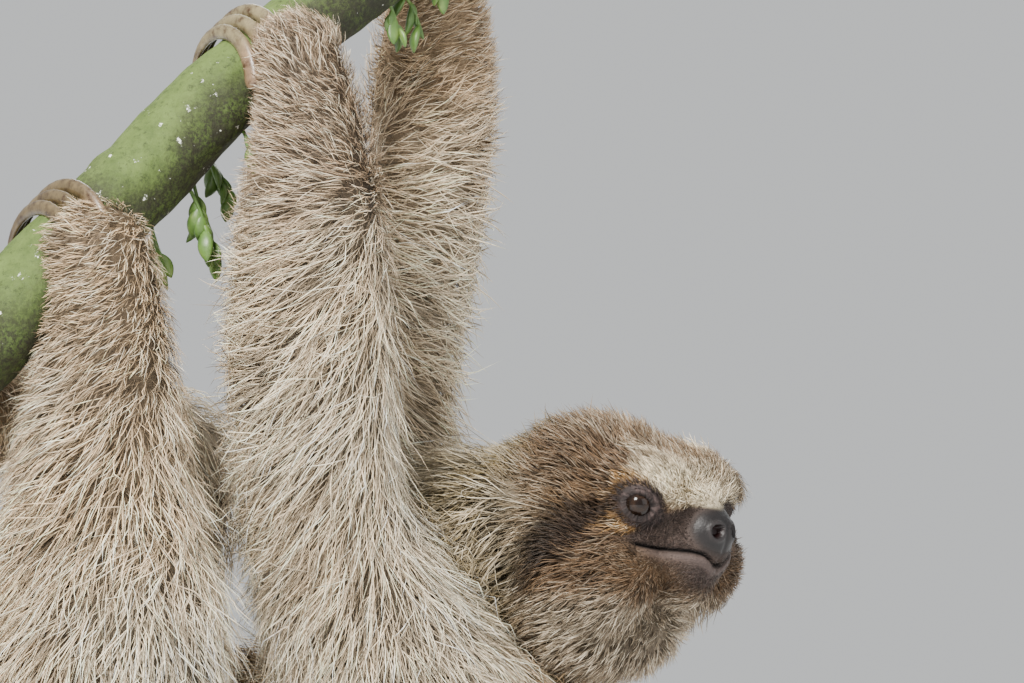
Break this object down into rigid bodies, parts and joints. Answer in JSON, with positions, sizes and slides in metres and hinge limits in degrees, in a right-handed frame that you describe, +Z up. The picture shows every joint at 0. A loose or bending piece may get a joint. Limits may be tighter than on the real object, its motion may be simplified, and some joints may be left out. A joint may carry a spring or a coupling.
{
  "type": "three-toed sloth hanging from a branch on a display stand",
  "caption": "Life-size three-toed sloth hanging by hooked claws from a sloping branch, head raised and turned aside, held over a flat base by short rods.",
  "frame": {"origin": "middle of the underside of the stand's base", "axes": "+Z up; +X toward the branch's upper end and the head; +Y toward the animal's left side"},
  "size_m": [0.43, 0.26, 0.5606],
  "materials": {
    "coat": "long coarse fur, cream over brown, matt",
    "face_coat": "short brown fur with a pale brow and a dark stripe from the eye, matt",
    "nose_skin": "bare dark skin, moist sheen",
    "eye": "dark brown, wet gloss",
    "claw": "pale horn with brown stain, satin",
    "bark": "green mossy bark with pale lichen, matt",
    "stand_base": "dark paint, satin",
    "stand_rod": "brushed"
  },
  "bodies": {
    "root": {"head": "face_coat", "neck": "coat", "trunk": "coat", "tail": "coat", "ear_left": "face_coat", "ear_right": "face_coat", "upper_arm_right": "coat", "forearm_right": "coat", "hand_right": "coat", "thigh_right": "coat", "shin_right": "coat", "foot_right": "coat", "upper_arm_left": "coat", "forearm_left": "coat", "hand_left": "coat", "thigh_left": "coat", "shin_left": "coat", "foot_left": "coat", "nose": "nose_skin", "eye_left": "eye", "eye_right": "eye", "claw_hand_right_1": "claw", "claw_hand_right_2": "claw", "claw_hand_right_3": "claw", "claw_hand_left_1": "claw", "claw_hand_left_2": "claw", "claw_hand_left_3": "claw", "claw_foot_right_1": "claw", "claw_foot_right_2": "claw", "claw_foot_right_3": "claw", "claw_foot_left_1": "claw", "claw_foot_left_2": "claw", "claw_foot_left_3": "claw", "branch": "bark", "stand_base": "stand_base", "stand_rod_body": "stand_rod", "stand_rod_branch": "stand_rod"}
  },
  "joints": []
}
